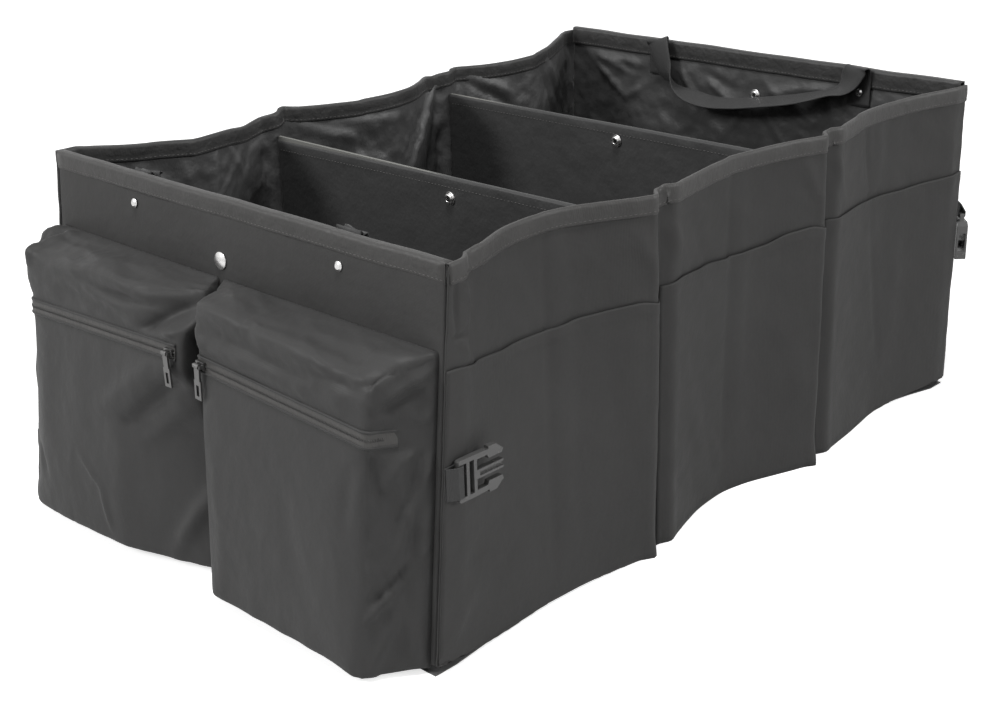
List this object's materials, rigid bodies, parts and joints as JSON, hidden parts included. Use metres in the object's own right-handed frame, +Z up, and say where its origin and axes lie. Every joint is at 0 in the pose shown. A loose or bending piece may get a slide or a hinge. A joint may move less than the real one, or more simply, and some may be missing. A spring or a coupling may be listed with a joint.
{
  "type": "car trunk organizer",
  "caption": "Open-topped fabric box in stiffened compartments for a car trunk, with zipped outer pockets, webbing handles and a side-release buckle.",
  "frame": {"origin": "on the floor's underside, below the middle of the rim at 700 x 480 mm", "axes": "+X from the pocket end to the far end, +Y to the left wall without side pockets, +Z up"},
  "size_m": [0.8096, 0.5116, 0.3179],
  "materials": {
    "outer_fabric": "coated charcoal woven polyester, soft sheen",
    "lining_fabric": "coated charcoal polyester, smooth and slightly glossy",
    "binding_tape": "folded grosgrain tape, edge stitched",
    "webbing": "flat woven webbing",
    "zip_tape": "woven zip tape with a nylon coil",
    "stiff_board": "plain stiffening board, out of sight",
    "bright_nickel": "polished nickel plate",
    "dark_nickel": "dark nickel plate, worn bright at the edges",
    "buckle_plastic": "moulded acetal, satin"
  },
  "bodies": {
    "bag": {"front_panel_cover": "outer_fabric", "rear_panel_cover": "outer_fabric", "divider_1_cover": "outer_fabric", "divider_2_cover": "outer_fabric", "right_side_wall": "outer_fabric", "left_side_wall": "outer_fabric", "right_side_pocket_front": "outer_fabric", "right_side_pocket_middle": "outer_fabric", "right_side_pocket_rear": "outer_fabric", "right_pocket_bag": "outer_fabric", "left_pocket_bag": "outer_fabric", "floor_cloth": "lining_fabric", "base_board_front": "lining_fabric", "base_board_middle": "lining_fabric", "base_board_rear": "lining_fabric", "rim_binding_front": "binding_tape", "rim_binding_rear": "binding_tape", "rim_binding_right": "binding_tape", "rim_binding_left": "binding_tape", "front_handle": "webbing", "rear_handle": "webbing", "male_buckle_tab": "webbing", "female_buckle_tab": "webbing", "right_pocket_zip": "zip_tape", "left_pocket_zip": "zip_tape", "front_panel_board": "stiff_board", "rear_panel_board": "stiff_board", "divider_1_board": "stiff_board", "divider_2_board": "stiff_board", "front_snap_cap": "bright_nickel", "front_snap_socket": "bright_nickel", "rear_snap_cap": "bright_nickel", "rear_snap_socket": "bright_nickel", "divider_1_snap_socket": "bright_nickel", "divider_1_snap_stud": "bright_nickel", "divider_2_snap_socket": "bright_nickel", "divider_2_snap_stud": "bright_nickel", "front_handle_rivet_right": "bright_nickel", "front_handle_rivet_left": "bright_nickel", "rear_handle_rivet_right": "bright_nickel", "rear_handle_rivet_left": "bright_nickel", "male_buckle": "buckle_plastic", "female_buckle": "buckle_plastic"},
    "right_slider": {"right_zip_slider": "dark_nickel"},
    "left_slider": {"left_zip_slider": "dark_nickel"},
    "right_puller": {"right_zip_puller": "dark_nickel"},
    "left_puller": {"left_zip_puller": "dark_nickel"}
  },
  "joints": [
    {"name": "right_zip_slide", "type": "slide", "parent": "bag", "child": "right_slider", "axis": [-0.0039, -0.999, -0.0434], "range_m": [0, 0.167]},
    {"name": "left_zip_slide", "type": "slide", "parent": "bag", "child": "left_slider", "axis": [-0.0039, 0.999, -0.0434], "range_m": [0, 0.187]},
    {"name": "right_puller_swing", "type": "hinge", "parent": "right_slider", "child": "right_puller", "pos_m": [-0.41282, -0.0261, 0.20048], "axis": [0.0039, 0.999, 0.0434], "range_deg": [-3, 170]},
    {"name": "left_puller_swing", "type": "hinge", "parent": "left_slider", "child": "left_puller", "pos_m": [-0.41282, 0.0151, 0.20048], "axis": [-0.0039, 0.999, -0.0434], "range_deg": [-3, 170]}
  ]
}
